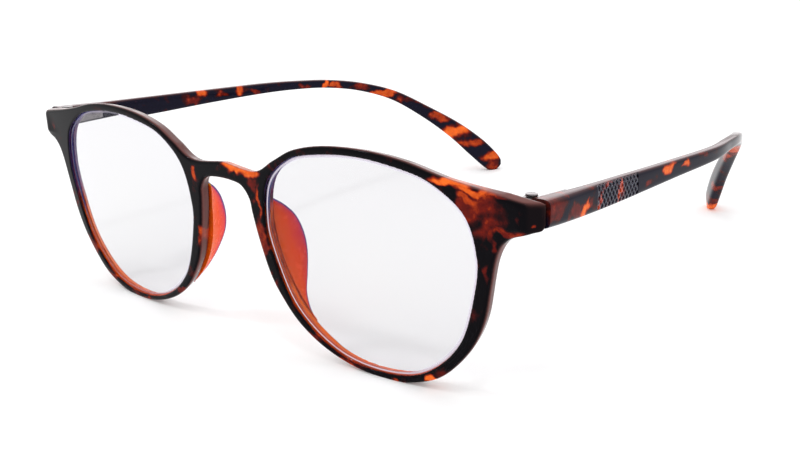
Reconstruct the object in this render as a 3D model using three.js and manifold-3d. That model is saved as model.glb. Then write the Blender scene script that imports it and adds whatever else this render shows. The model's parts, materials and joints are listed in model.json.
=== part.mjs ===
// Full-rim plastic spectacles with clear blue-light lenses: a one-piece front, two lenses,
// two nose pads and two temples on five-knuckle metal hinges.
//
// Units are millimetres, +Z is up, the front faces -Y and the temples run back along +Y.
// The wearer's left is +X. The glasses stand open, on the rim bottoms and the temple tips.
import * as THREE from 'three';
import { mergeVertices } from 'three/addons/utils/BufferGeometryUtils.js';
import Module from 'manifold-3d';

const wasm = await Module();
wasm.setup();

// ---------------------------------------------------------------- driving dimensions
const LEAN = THREE.MathUtils.degToRad(1.87); // top of the front tips towards -Y
const DROP = THREE.MathUtils.degToRad(5.3); // temples slope down towards their tips
const FLOOR = -21.8; // resting plane, below the middle of the bridge

const HALF_PD = 35; // middle of the bridge to the middle of a lens opening
const WRAP = 4.25; // how far the front has curved back at WRAP_AT from the middle
const WRAP_AT = 60;
const FRONT_DEPTH = 3; // front to back of the rims
const EDGE_ROUND = 0.4; // bevel along the rims' edges
const REAR_TAPER = 0.95; // how far the outer walls draw in towards the rear
const END_SWELL = 1.6; // how much of that the end pieces fill back in
const END_FROM = 54; // where an end piece starts, from the middle
const END_LOW = 2; // and where it starts, above the middle

const GROOVE_Y = 1.1; // middle of the lens groove, behind the front surface
const GROOVE_WIDTH = 1.3;
const GROOVE_REACH = 0.6; // groove depth outside the lens opening
const LENS_THICK = 2;
const LENS_DOME = 1.3; // how far the middle of a lens stands forward of its edge
const FIT = 0.15; // play between pieces that touch

const JOINT_REAR = 6.7; // rear face of the end piece, where a temple meets the front
const JOINT_GAP = 0.4;

const HINGE = { x: 66.1, y: 8.4 }; // hinge axis, seen from above
const BARREL_RADIUS = 1.35;
const PIN_RADIUS = 0.55;
const KNUCKLE_HEIGHT = 0.76;
const KNUCKLE_GAP = 0.1;
const KNUCKLE_COUNT = 5;
const HINGE_MIDDLE = 13.6; // height of the middle knuckle
const LEAF_THICK = 0.7;
const RIVET_RADIUS = 0.45;
const RIVET_HEAD = { radius: 0.8, height: 0.4 };

const INLAY = { from: 22.1, to: 35.9, low: 11.8, high: 15.55, depth: 0.6, thick: 0.4, outer: [69.45, 68.47] };

// ---------------------------------------------------------------- materials
function finish(color, roughness, metalness = 0) {
  return new THREE.MeshStandardMaterial({ color, roughness, metalness });
}

const tortoiseshell = finish(0x3a1c10, 0.18);
const tortoiseTemple = finish(0x45261a, 0.2);
const amber = finish(0xc8571a, 0.22);
const clearLens = finish(0xe6e8f2, 0.05);
const steel = finish(0xb9bbbe, 0.3, 1);
const tortoiseNet = finish(0x4a342c, 0.3);

// ---------------------------------------------------------------- solids
function solid(geometry) {
  const bare = geometry.clone();
  bare.deleteAttribute('normal');
  bare.deleteAttribute('uv');
  const merged = mergeVertices(bare, 1e-4);
  return new wasm.Manifold(new wasm.Mesh({
    numProp: 3,
    vertProperties: new Float32Array(merged.attributes.position.array),
    triVerts: new Uint32Array(merged.index.array),
  }));
}

function toGeometry(manifold) {
  const mesh = manifold.getMesh();
  const geometry = new THREE.BufferGeometry();
  geometry.setAttribute('position', new THREE.BufferAttribute(mesh.vertProperties, 3));
  geometry.setIndex(new THREE.BufferAttribute(mesh.triVerts, 1));
  geometry.computeVertexNormals();
  return geometry;
}

function carve(geometry, cutters) {
  return toGeometry(cutters.reduce((body, cutter) => body.subtract(solid(cutter)), solid(geometry)));
}

function join(geometries) {
  return toGeometry(geometries.map(solid).reduce((body, next) => body.add(next)));
}

function mirrored(geometry) {
  const copy = mergeVertices(geometry.clone().deleteAttribute('normal').deleteAttribute('uv'), 1e-4);
  copy.scale(-1, 1, 1);
  const index = copy.index.array;
  for (let i = 0; i < index.length; i += 3) {
    [index[i], index[i + 1]] = [index[i + 1], index[i]];
  }
  copy.computeVertexNormals();
  return copy;
}

// A box given by its lowest and highest corners.
function block(low, high) {
  const size = high.map((value, axis) => value - low[axis]);
  const box = new THREE.BoxGeometry(...size);
  return box.translate(...low.map((value, axis) => value + size[axis] / 2));
}

// A skin over rings of equal point counts; the first and last rings are closed by fans.
function loft(rings) {
  const count = rings[0].length;
  const points = rings.flat();
  const index = [];
  rings.slice(1).forEach((ring, row) => {
    const base = row * count;
    for (let i = 0; i < count; i++) {
      const next = (i + 1) % count;
      index.push(base + i, base + next, base + count + i);
      index.push(base + next, base + count + next, base + count + i);
    }
  });
  const last = (rings.length - 1) * count;
  for (const [ring, first, flip] of [[rings[0], 0, true], [rings.at(-1), last, false]]) {
    const middle = points.length;
    const sum = ring.reduce((total, point) => total.add(point), new THREE.Vector3());
    points.push(sum.divideScalar(count));
    for (let i = 0; i < count; i++) {
      const pair = [first + i, first + (i + 1) % count];
      index.push(middle, ...(flip ? pair.reverse() : pair));
    }
  }
  const geometry = new THREE.BufferGeometry().setFromPoints(points);
  geometry.setIndex(index);
  if (solid(geometry).volume() < 0) index.reverse();
  geometry.setIndex(index);
  geometry.computeVertexNormals();
  return geometry;
}

// Points of a rounded-rectangle section, as a superellipse, in its own plane.
function roundedSection(width, height, count = 16) {
  return Array.from({ length: count }, (_, i) => {
    const angle = (2 * Math.PI * (i + 0.5)) / count;
    const soften = (value) => Math.sign(value) * Math.sqrt(Math.abs(value));
    return [soften(Math.cos(angle)) * width / 2, soften(Math.sin(angle)) * height / 2];
  });
}

// ---------------------------------------------------------------- the front's outlines
const wrapAt = (x) => WRAP * (x / WRAP_AT) ** 2;

// Follows the front's curvature: flat work at depth y is pushed back by the wrap.
function wrapped(geometry) {
  const position = geometry.attributes.position;
  for (let i = 0; i < position.count; i++) {
    position.setY(i, position.getY(i) + wrapAt(position.getX(i)));
  }
  return geometry;
}

// The lens opening of the left rim, as x and z about its middle: nearly round, broadest above it.
const OPENING = new THREE.CatmullRomCurve3([
  [23.1, -1], [23.7, 5.4], [21.9, 11.6], [16.8, 15.8], [10.9, 17.9], [0, 19.2], [-11.1, 18.2],
  [-17.2, 16.2], [-22.2, 11.8], [-24, 5.4], [-23.5, -1], [-18.9, -11.9], [-10.2, -18.7], [0, -20.9],
  [10.6, -19.2], [19.1, -11.9],
].map(([x, z]) => new THREE.Vector3(x, z, 0)), true, 'catmullrom');
const OPENING_SEGMENTS = 48;

function openingPoints(outward) {
  return Array.from({ length: OPENING_SEGMENTS }, (_, i) => {
    const t = i / OPENING_SEGMENTS;
    const point = OPENING.getPoint(t);
    const tangent = OPENING.getTangent(t);
    return new THREE.Vector2(point.x + tangent.y * outward + HALF_PD, point.y - tangent.x * outward);
  });
}

// Half of the front's outer edge, from the top of the bridge out, down and back to its underside.
const BROW = [[9, 13.4], [14.6, 16.2], [20.1, 18.9], [27.7, 20.5], [36.8, 20.8], [45.2, 19.9],
  [53, 18], [60.5, 16.4], [67.6, 15.1], [70.6, 14.6]];
const END_PIECE_LOWER = [70.95, 10.3];
const UNDERSIDE = [[67.3, 9.3], [64.6, 8.2], [62.8, 5.6], [61.2, -0.7], [59.6, -6.8], [56.8, -12.2],
  [52.3, -17.2], [47.9, -20.2], [41.6, -22.1], [36, -22.3], [29, -21.4], [22.2, -19], [16.8, -15.5],
  [13, -11.2], [10.4, -6.8], [8.4, -0.3], [7.3, 5], [6.9, 7.6], [5.2, 9.7], [2.5, 10.3]];
const BRIDGE_TOP = 14.1;
const BRIDGE_UNDER = 10.4;

function vectors(pairs) {
  return pairs.map(([x, z]) => new THREE.Vector2(x, z));
}

// The whole outer edge. A swell above zero makes the end pieces that much larger at their tips.
function outerShape(swell = 0) {
  const half = new THREE.Path();
  half.moveTo(0, BRIDGE_TOP);
  half.splineThru(vectors(BROW));
  half.lineTo(...END_PIECE_LOWER);
  half.splineThru(vectors([...UNDERSIDE, [0, BRIDGE_UNDER]]));
  const endMiddle = (BROW.at(-1)[1] + END_PIECE_LOWER[1]) / 2;
  const right = half.getPoints(3).map(({ x, y }) => {
    const outward = Math.max(0, (x - END_FROM) / (END_PIECE_LOWER[0] - END_FROM));
    const grow = swell * outward * THREE.MathUtils.smoothstep(y, END_LOW, END_LOW + 7);
    return new THREE.Vector2(x + grow, y + grow * Math.sign(y - endMiddle));
  });
  const left = right.slice(1, -1).reverse().map((point) => new THREE.Vector2(-point.x, point.y));
  return new THREE.Shape([...right, ...left]);
}

function frontShape() {
  const shape = outerShape();
  const opening = openingPoints(0);
  shape.holes.push(new THREE.Path(opening));
  shape.holes.push(new THREE.Path(opening.map((point) => new THREE.Vector2(-point.x, point.y)).reverse()));
  return shape;
}

// ---------------------------------------------------------------- lenses
// Rings of the lens outline from the middle out over the front, round the edge and back in.
function lensRings(rows) {
  return rows.map(([share, outward, depth]) => openingPoints(outward).map((point) => {
    const x = HALF_PD + (point.x - HALF_PD) * share;
    return new THREE.Vector3(x, depth + wrapAt(x), point.y * share);
  }));
}

function lensGeometry() {
  const face = (share, side) => {
    const dome = LENS_DOME * (1 - share ** 2);
    return [share, -FIT, GROOVE_Y - dome + (side * LENS_THICK) / 2];
  };
  const shares = [0.02, 0.35, 0.7, 1];
  return loft(lensRings([
    ...shares.map((share) => face(share, -1)),
    [1, -FIT, GROOVE_Y - 0.4],
    [1, GROOVE_REACH - FIT - 0.1, GROOVE_Y - 0.2],
    [1, GROOVE_REACH - FIT - 0.1, GROOVE_Y + 0.2],
    [1, -FIT, GROOVE_Y + 0.4],
    ...shares.toReversed().map((share) => face(share, 1)),
  ]));
}

function grooveCutter() {
  return loft(lensRings([
    [0.02, GROOVE_REACH, GROOVE_Y - GROOVE_WIDTH / 2],
    [0.6, GROOVE_REACH, GROOVE_Y - GROOVE_WIDTH / 2],
    [1, GROOVE_REACH, GROOVE_Y - GROOVE_WIDTH / 2],
    [1, GROOVE_REACH, GROOVE_Y + GROOVE_WIDTH / 2],
    [0.6, GROOVE_REACH, GROOVE_Y + GROOVE_WIDTH / 2],
    [0.02, GROOVE_REACH, GROOVE_Y + GROOVE_WIDTH / 2],
  ]));
}

// ---------------------------------------------------------------- hinges
// Hinge work is drawn square to the temples. turnedToFront puts such a shape in the front's frame.
const turnedToFront = (geometry) => geometry.clone().rotateX(-(LEAN + DROP));

function rod(radius, low, high, sides = 20) {
  const cylinder = new THREE.CylinderGeometry(radius, radius, high - low, sides);
  return cylinder.rotateX(Math.PI / 2).translate(HINGE.x, HINGE.y, (low + high) / 2);
}

const KNUCKLE_PITCH = KNUCKLE_HEIGHT + KNUCKLE_GAP;
const HINGE_LOW = HINGE_MIDDLE - (KNUCKLE_COUNT * KNUCKLE_PITCH - KNUCKLE_GAP) / 2;
const HINGE_HIGH = 2 * HINGE_MIDDLE - HINGE_LOW;

// Every second knuckle, each a ring with a neck that ties it to its leaf.
function knuckles(first, neckLow, neckHigh) {
  const pieces = [];
  for (let i = first; i < KNUCKLE_COUNT; i += 2) {
    const low = HINGE_LOW + i * KNUCKLE_PITCH;
    const high = low + KNUCKLE_HEIGHT;
    pieces.push(rod(BARREL_RADIUS, low, high), block([...neckLow, low], [...neckHigh, high]));
  }
  return pieces;
}

const pinHole = rod(PIN_RADIUS + FIT, HINGE_LOW - 1, HINGE_HIGH + 1);

const FRONT_LEAF = {
  low: [61.3, JOINT_REAR - 0.5, HINGE_LOW],
  high: [66.6, JOINT_REAR - 0.5 + LEAF_THICK, HINGE_HIGH],
};
const TEMPLE_LEAF = {
  low: [65.95, HINGE.y + BARREL_RADIUS + 0.3, HINGE_LOW + 0.3],
  high: [65.95 + LEAF_THICK, 17.6, HINGE_HIGH - 0.3],
};
const FRONT_RIVETS = [62.3, 64.3];
const TEMPLE_RIVETS = [12, 15.4];

// A rivet set at the origin with its head towards -Y and its shank along +Y.
function rivetGeometry(shank, play = 0) {
  const { radius, height } = RIVET_HEAD;
  const outline = [[0, -height], [radius * 0.6, -height], [radius, -height * 0.4], [radius, 0],
    [RIVET_RADIUS + play, 0], [RIVET_RADIUS + play, shank], [0, shank]];
  // A lathe turns about +Y; its profile is read upwards so that its faces point out.
  return new THREE.LatheGeometry(outline.map(([r, y]) => new THREE.Vector2(r, y)), 12);
}

// The front leaf's rivets point forwards, the temple leaf's rivets point outwards.
function frontRivet(x, shank = 2, play = 0) {
  const rivet = rivetGeometry(shank, play).rotateX(Math.PI);
  return rivet.translate(x, FRONT_LEAF.high[1] + 0.05, HINGE_MIDDLE);
}

function templeRivet(y, shank = 2, play = 0) {
  const rivet = rivetGeometry(shank, play).rotateZ(-Math.PI / 2);
  return rivet.translate(TEMPLE_LEAF.low[0] - 0.05, y, HINGE_MIDDLE);
}

function frontLeafGeometry() {
  const leaf = join([
    block(FRONT_LEAF.low, FRONT_LEAF.high),
    ...knuckles(0, [65.1, FRONT_LEAF.low[1]], [66.6, HINGE.y]),
  ]);
  return carve(leaf, [pinHole, ...FRONT_RIVETS.map((x) => frontRivet(x, 3, 0.1))]);
}

function templeLeafGeometry() {
  const leaf = join([
    block(TEMPLE_LEAF.low, TEMPLE_LEAF.high),
    ...knuckles(1, [TEMPLE_LEAF.low[0], HINGE.y], [TEMPLE_LEAF.high[0], TEMPLE_LEAF.low[1] + 0.2]),
  ]);
  return carve(leaf, [pinHole, ...TEMPLE_RIVETS.map((y) => templeRivet(y, 3, 0.1))]);
}

function screwGeometry() {
  const head = { radius: 1.05, height: 0.5, slot: 0.3 };
  const outline = [[0, HINGE_LOW - 0.2], [PIN_RADIUS, HINGE_LOW - 0.2], [PIN_RADIUS, HINGE_HIGH + 0.08],
    [head.radius, HINGE_HIGH + 0.08], [head.radius, HINGE_HIGH + head.height], [0, HINGE_HIGH + head.height]];
  const turned = new THREE.LatheGeometry(outline.map(([r, z]) => new THREE.Vector2(r, z)), 16);
  turned.rotateX(Math.PI / 2);
  return turned.translate(HINGE.x, HINGE.y, 0);
}

// ---------------------------------------------------------------- the front
function floorCutter(turn) {
  const slab = block([-100, -30, FLOOR - 20], [100, 180, FLOOR]);
  return slab.rotateX(-turn);
}

function grown(leaf, by) {
  return block(leaf.low.map((value) => value - by), leaf.high.map((value) => value + by));
}

// Draws the end piece's outer wall in towards the front, from its full width at the joint.
function endChamfer() {
  const plan = new THREE.Shape(vectors([[67.9, 5.2], [71.3, 9], [75, 9], [75, 0], [67.9, 0]]));
  const wedge = new THREE.ExtrudeGeometry(plan, { depth: 30, bevelEnabled: false });
  return wedge;
}

function frontGeometry() {
  const rims = new THREE.ExtrudeGeometry(frontShape(), {
    depth: FRONT_DEPTH - 2 * EDGE_ROUND,
    bevelEnabled: true,
    bevelThickness: EDGE_ROUND,
    bevelSize: EDGE_ROUND,
    bevelOffset: -EDGE_ROUND,
    bevelSegments: 1,
    steps: 1,
  });
  // Extrusion runs along +Z from the sheet; laid down it runs from the front surface back.
  rims.translate(0, 0, EDGE_ROUND - FRONT_DEPTH).rotateX(Math.PI / 2);
  const taper = new THREE.ExtrudeGeometry(outerShape(END_SWELL), {
    depth: FRONT_DEPTH,
    bevelEnabled: true,
    bevelThickness: FRONT_DEPTH,
    bevelSize: REAR_TAPER,
    bevelOffset: 0.05 - REAR_TAPER,
    bevelSegments: 1,
    steps: 1,
  });
  // Its rear bevel spans the rims' depth, its straight part lies in front of them.
  taper.translate(0, 0, -FRONT_DEPTH).rotateX(Math.PI / 2).translate(0, -FRONT_DEPTH, 0);
  const tapered = wrapped(toGeometry(solid(rims).intersect(solid(taper))));
  const endBlock = turnedToFront(block([61, 4, 10.9], [70, JOINT_REAR, 15]));
  const bare = join([tapered, endBlock, mirrored(endBlock)]);
  const sideCuts = [
    block([60.5, JOINT_REAR, -5], [80, 20, 30]),
    grown(FRONT_LEAF, FIT),
    ...FRONT_RIVETS.map((x) => frontRivet(x, 2.4, FIT)),
  ].map(turnedToFront);
  sideCuts.push(grooveCutter(), endChamfer());
  return carve(bare, [...sideCuts, ...sideCuts.map(mirrored), floorCutter(LEAN)]);
}

// ---------------------------------------------------------------- nose pads
// Each row: height, then the pad's middle at the rim and at its free rear edge, and how far back it is.
const PAD_ROWS = [
  [7.2, 9.0, 9.6, 4.2], [5.4, 9.1, 10.5, 6.2], [2.8, 9.5, 11.4, 8.0], [-0.8, 10.0, 12.0, 9.0],
  [-4.4, 10.9, 12.6, 8.8], [-8.0, 12.6, 13.6, 7.3], [-11.0, 14.6, 14.8, 5.5], [-13.4, 16.6, 16.4, 4.3],
];
const PAD_THICK = { rim: 2.3, edge: 1.3 };

function padGeometry() {
  const rings = PAD_ROWS.map(([z, rimX, edgeX, edgeY]) => {
    const rimY = FRONT_DEPTH + FIT + wrapAt(rimX + PAD_THICK.rim / 2);
    const side = (sign) => [
      new THREE.Vector3(rimX + (sign * PAD_THICK.rim) / 2, rimY, z),
      new THREE.Vector3((rimX + edgeX + sign * PAD_THICK.rim) / 2, (rimY + edgeY) / 2, z),
      new THREE.Vector3(edgeX + (sign * PAD_THICK.edge) / 2, edgeY - 0.3, z),
    ];
    return [...side(-1), new THREE.Vector3(edgeX, edgeY, z), ...side(1).reverse()];
  });
  return loft(rings);
}

// ---------------------------------------------------------------- temples
// Stations along the left temple: y, middle x, middle z, thickness, height.
const TEMPLE_STATIONS = [
  [5.5, 68.8, 13.6, 4.6, 4.7], [12, 68.55, 13.5, 3.9, 4.8], [20, 68.15, 13.45, 2.9, 4.7],
  [32, 67.45, 13.65, 2.3, 4.3], [50, 66.4, 14.15, 2.2, 3.3], [66, 65.1, 14.5, 2.2, 2.6],
  [76, 62.5, 14.6, 2.2, 2.2], [84, 59.8, 14.3, 2.2, 2.1], [92, 55.9, 13.1, 2.3, 2.2],
  [100, 51.3, 10.4, 2.4, 2.6], [107, 46, 5.7, 2.5, 3.3], [113, 41, 0.7, 2.6, 4.5],
  [117.5, 37.2, -4.05, 2.6, 5.4], [120.5, 34.7, -7.65, 2.5, 5.2], [121.8, 33.6, -9.25, 2.1, 4.3],
  [122.3, 33.2, -9.85, 1.3, 3],
];
const TEMPLE_RINGS = 34;

function templeSweep() {
  const path = new THREE.CatmullRomCurve3(TEMPLE_STATIONS.map(([y, x, z]) => new THREE.Vector3(x, y, z)));
  const size = new THREE.CatmullRomCurve3(
    TEMPLE_STATIONS.map(([, , , thick, high], i) => new THREE.Vector3(thick, high, i)));
  const up = new THREE.Vector3(0, 0, 1);
  const rings = Array.from({ length: TEMPLE_RINGS + 1 }, (_, i) => {
    const t = i / TEMPLE_RINGS;
    const middle = path.getPoint(t);
    const along = path.getTangent(t);
    const across = new THREE.Vector3().crossVectors(along, up).normalize();
    const rise = new THREE.Vector3().crossVectors(across, along).normalize();
    const { x: thick, y: high } = size.getPoint(t);
    return roundedSection(thick, high).map(([a, b]) => middle.clone()
      .addScaledVector(across, a).addScaledVector(rise, b));
  });
  return loft(rings);
}

// The inlay lies along the outer face, which falls slightly inwards over its length.
function inlayPlate(depth, play) {
  const corner = (y, x) => new THREE.Vector2(x, y);
  const outer = [corner(INLAY.from - play, INLAY.outer[0]), corner(INLAY.to + play, INLAY.outer[1])];
  const lift = play > 0 ? 2 : -0.12;
  const plan = new THREE.Shape([
    new THREE.Vector2(outer[0].x - depth, outer[0].y), new THREE.Vector2(outer[0].x + lift, outer[0].y),
    new THREE.Vector2(outer[1].x + lift, outer[1].y), new THREE.Vector2(outer[1].x - depth, outer[1].y),
  ]);
  const reach = play > 0 ? 3 : 0;
  const height = INLAY.high - INLAY.low + 2 * reach;
  const plate = new THREE.ExtrudeGeometry(plan, { depth: height, bevelEnabled: false });
  return plate.translate(0, 0, INLAY.low - reach);
}

function templeGeometry() {
  return carve(templeSweep(), [
    block([60, 0, 0], [80, JOINT_REAR + JOINT_GAP, 30]),
    rod(BARREL_RADIUS + 0.25, 5, 25, 28),
    grown(TEMPLE_LEAF, FIT),
    block(
      [60, HINGE.y, HINGE_LOW - FIT],
      [TEMPLE_LEAF.high[0] + FIT, TEMPLE_LEAF.low[1] + 0.2, HINGE_HIGH + FIT],
    ),
    ...TEMPLE_RIVETS.map((y) => templeRivet(y, 2.4, FIT)),
    inlayPlate(INLAY.depth, 0.1),
    floorCutter(-DROP),
  ]);
}

function inlayGeometry() {
  return inlayPlate(INLAY.thick + 0.12, 0);
}

// ---------------------------------------------------------------- the scene graph
const front = new THREE.Group();
front.rotation.x = LEAN;
const temples = new THREE.Group();
temples.rotation.x = -DROP;

function place(group, name, geometry, material) {
  const mesh = new THREE.Mesh(geometry, material);
  mesh.name = name;
  group.add(mesh);
}

function placePair(group, name, geometry, material) {
  place(group, `${name}_left`, geometry, material);
  place(group, `${name}_right`, mirrored(geometry), material);
}

place(front, 'frame_front', frontGeometry(), tortoiseshell);
placePair(front, 'lens', lensGeometry(), clearLens);
placePair(front, 'nose_pad', padGeometry(), amber);
placePair(temples, 'hinge_front_leaf', frontLeafGeometry(), steel);
placePair(temples, 'hinge_temple_leaf', templeLeafGeometry(), steel);
placePair(temples, 'hinge_screw', screwGeometry(), steel);
FRONT_RIVETS.forEach((x, i) => placePair(temples, `front_rivet_${i + 1}`, frontRivet(x), steel));
TEMPLE_RIVETS.forEach((y, i) => placePair(temples, `temple_rivet_${i + 1}`, templeRivet(y), steel));
placePair(temples, 'temple', templeGeometry(), tortoiseTemple);
placePair(temples, 'mesh_inlay', inlayGeometry(), tortoiseNet);

const glasses = new THREE.Group();
glasses.add(front, temples);
glasses.updateMatrixWorld(true);

// The origin is the middle of the bounding box, on the resting plane.
const box = new THREE.Box3().setFromObject(glasses, true);
glasses.position.set(-(box.min.x + box.max.x) / 2, -(box.min.y + box.max.y) / 2, -box.min.z);

export default glasses;
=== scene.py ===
# Round tortoiseshell spectacles with clear lenses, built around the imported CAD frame.
#
# Shapes are drawn in millimetres in the design's two frames, then turned into the CAD frame in metres.
# +Z is up, the front faces -Y, the temples run back along +Y, and the wearer's left is +X.
import json
import math

import bmesh
import bpy
import numpy as np
from mathutils import Matrix, Vector, noise

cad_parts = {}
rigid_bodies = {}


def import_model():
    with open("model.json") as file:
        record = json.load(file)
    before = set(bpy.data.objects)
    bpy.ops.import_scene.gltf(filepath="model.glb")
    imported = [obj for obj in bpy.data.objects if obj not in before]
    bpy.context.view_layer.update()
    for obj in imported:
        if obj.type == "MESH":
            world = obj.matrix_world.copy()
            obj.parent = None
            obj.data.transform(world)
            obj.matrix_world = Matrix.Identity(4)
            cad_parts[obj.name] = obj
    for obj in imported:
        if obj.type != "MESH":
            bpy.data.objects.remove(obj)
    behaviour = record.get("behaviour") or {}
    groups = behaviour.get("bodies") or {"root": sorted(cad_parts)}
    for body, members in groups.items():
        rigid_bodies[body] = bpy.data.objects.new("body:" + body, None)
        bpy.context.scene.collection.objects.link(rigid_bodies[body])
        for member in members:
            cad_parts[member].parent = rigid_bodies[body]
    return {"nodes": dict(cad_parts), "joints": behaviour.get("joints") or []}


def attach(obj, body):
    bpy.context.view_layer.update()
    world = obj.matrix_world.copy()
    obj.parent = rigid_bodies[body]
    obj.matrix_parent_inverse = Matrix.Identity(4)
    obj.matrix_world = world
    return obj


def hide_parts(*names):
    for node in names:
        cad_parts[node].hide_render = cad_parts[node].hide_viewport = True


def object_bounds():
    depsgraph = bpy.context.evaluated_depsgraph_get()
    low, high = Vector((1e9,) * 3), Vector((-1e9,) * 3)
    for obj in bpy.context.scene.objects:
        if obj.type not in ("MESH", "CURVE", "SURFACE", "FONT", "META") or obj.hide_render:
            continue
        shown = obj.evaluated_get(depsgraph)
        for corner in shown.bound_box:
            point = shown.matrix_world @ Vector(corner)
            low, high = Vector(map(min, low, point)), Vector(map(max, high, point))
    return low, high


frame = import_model()
cad_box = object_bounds()

MM = 0.001

# ---------------------------------------------------------------- the design's two frames
# The front is drawn upright about the middle of the bridge, the temples level about the same point.
JOINTS = {joint["name"]: joint for joint in frame["joints"]}
HINGE = Vector((66.1, 8.4, 13.6))  # the left hinge's middle, in the temples' frame
TILT = math.radians(7.17)  # angle between the front and the temples
DROP = math.asin(JOINTS["fold_left"]["axis"][1])
LEAN = TILT - DROP
BRIDGE = Vector(JOINTS["fold_left"]["pos_m"]) / MM - Matrix.Rotation(-DROP, 3, "X") @ HINGE


def turned(points, angle):
    """Points turned about X by an angle."""
    cos, sin = math.cos(angle), math.sin(angle)
    x, y, z = points[..., 0], points[..., 1], points[..., 2]
    return np.stack([x, cos * y - sin * z, sin * y + cos * z], axis=-1)


def front_to_world(points):
    return (turned(np.asarray(points, float), LEAN) + np.array(BRIDGE)) * MM


def temple_to_world(points):
    return (turned(np.asarray(points, float), -DROP) + np.array(BRIDGE)) * MM


# ---------------------------------------------------------------- camera
# Seen from the wearer's left front, slightly above.
CAMERA_PLACE = Vector((191.65, -149.4, 76.28))  # from the middle of the bridge
CAMERA_AZIMUTH = math.radians(44.291)
CAMERA_RISE = math.radians(17.802)
CAMERA_ROLL = math.radians(-3.809)
CAMERA_LENS = 59.28
CAMERA_SENSOR = 36


def make_camera():
    data = bpy.data.cameras.new("camera")
    data.lens = CAMERA_LENS
    data.sensor_width = CAMERA_SENSOR
    data.clip_start = 10 * MM
    camera = bpy.data.objects.new("camera", data)
    turn = (Matrix.Rotation(CAMERA_AZIMUTH, 4, "Z")
            @ Matrix.Rotation(math.pi / 2 - CAMERA_RISE, 4, "X")
            @ Matrix.Rotation(CAMERA_ROLL, 4, "Z"))
    camera.matrix_world = Matrix.Translation((BRIDGE + CAMERA_PLACE) * MM) @ turn
    bpy.context.scene.collection.objects.link(camera)
    bpy.context.scene.camera = camera


# ---------------------------------------------------------------- meshes
PULL = 0.5  # how far one round of relaxing draws a vertex in
PUSH_BACK = 1.04  # and how much of that it then gives back


def add_object(name, vertices, faces, smooth=True):
    mesh = bpy.data.meshes.new(name)
    mesh.from_pydata([tuple(v) for v in vertices], [], [tuple(f) for f in faces])
    mesh.update()
    if smooth:
        mesh.shade_smooth()
    piece = bpy.data.objects.new(name, mesh)
    bpy.context.scene.collection.objects.link(piece)
    return piece


def stand_for(piece, node, body):
    """Hides the CAD node that a piece stands for, and sets what it moves with."""
    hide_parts(node)
    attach(piece, body)
    return piece


def ring_skin(rings):
    """Points and faces of a skin over rings of points, closed at both ends."""
    rows, count = rings.shape[:2]
    faces = []
    for row in range(rows - 1):
        for i in range(count):
            a, b = row * count + i, row * count + (i + 1) % count
            faces.append((a, b, b + count, a + count))
    faces.append(tuple(range(count))[::-1])
    last = (rows - 1) * count
    faces.append(tuple(range(last, last + count)))
    return rings.reshape(-1, 3), faces


def make_consistent(piece):
    """Turns all faces outwards."""
    work = bmesh.new()
    work.from_mesh(piece.data)
    bmesh.ops.recalc_face_normals(work, faces=work.faces)
    work.to_mesh(piece.data)
    work.free()


def crisp(piece, degrees):
    """Smooth shading, with the edges sharper than an angle kept sharp."""
    work = bmesh.new()
    work.from_mesh(piece.data)
    for face in work.faces:
        face.smooth = True
    for edge in work.edges:
        edge.smooth = edge.calc_face_angle(0) < math.radians(degrees)
    work.to_mesh(piece.data)
    work.free()


def apply_modifiers(piece):
    bpy.context.view_layer.update()
    shaped = piece.evaluated_get(bpy.context.evaluated_depsgraph_get())
    mesh = bpy.data.meshes.new_from_object(shaped)
    piece.modifiers.clear()
    piece.data = mesh


def read_vectors(items, key):
    """One vector of each vertex or normal, as rows."""
    flat = np.empty(len(items) * 3)
    items.foreach_get(key, flat)
    return flat.reshape(-1, 3)


def paint(piece, name, value):
    """Gives a mesh a value at each point, which its material reads."""
    layer = piece.data.attributes.new(name, "FLOAT", "POINT")
    layer.data.foreach_set("value", np.asarray(value, np.float32))


def surface_nets(field, low, step):
    """The zero surface of a sampled distance field, as vertices and outward quads."""
    cells = np.array(field.shape) - 1
    points, owners, quads = [], [], []
    for axis in range(3):
        one, two = (axis + 1) % 3, (axis + 2) % 3
        start = [slice(None)] * 3
        end = [slice(None)] * 3
        start[axis], end[axis] = slice(None, -1), slice(1, None)
        here, there = field[tuple(start)], field[tuple(end)]
        base = np.argwhere((here < 0) != (there < 0))
        first, second = here[tuple(base.T)], there[tuple(base.T)]
        place = base.astype(float)
        place[:, axis] += first / (first - second)
        corner_ids = []
        for back_one, back_two in ((0, 0), (1, 0), (1, 1), (0, 1)):
            cell = base.copy()
            cell[:, one] -= back_one
            cell[:, two] -= back_two
            ids = (cell[:, 0] * cells[1] + cell[:, 1]) * cells[2] + cell[:, 2]
            corner_ids.append(ids)
            owners.append(ids)
            points.append(place)
        ring = np.stack(corner_ids, axis=1)
        inward = first > 0
        ring[inward] = ring[inward][:, ::-1]
        quads.append(ring)
    owners = np.concatenate(owners)
    points = np.concatenate(points)
    quads = np.concatenate(quads)
    used, slots = np.unique(owners, return_inverse=True)
    share = np.bincount(slots)
    vertices = np.stack([np.bincount(slots, points[:, axis]) / share for axis in range(3)], axis=1)
    return vertices * step + low, np.searchsorted(used, quads)


def relaxed(vertices, quads, rounds):
    """Vertices drawn towards their neighbours' mean, then pushed back, so that nothing shrinks."""
    edges = np.concatenate([quads[:, [i, (i + 1) % 4]] for i in range(4)])
    edges = np.concatenate([edges, edges[:, ::-1]])
    count = np.bincount(edges[:, 0], minlength=len(vertices))[:, None]
    for amount in [PULL, -PULL * PUSH_BACK] * rounds:
        total = np.stack([np.bincount(edges[:, 0], vertices[edges[:, 1], axis], minlength=len(vertices))
                          for axis in range(3)], axis=1)
        vertices = vertices + amount * (total / count - vertices)
    return vertices


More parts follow.
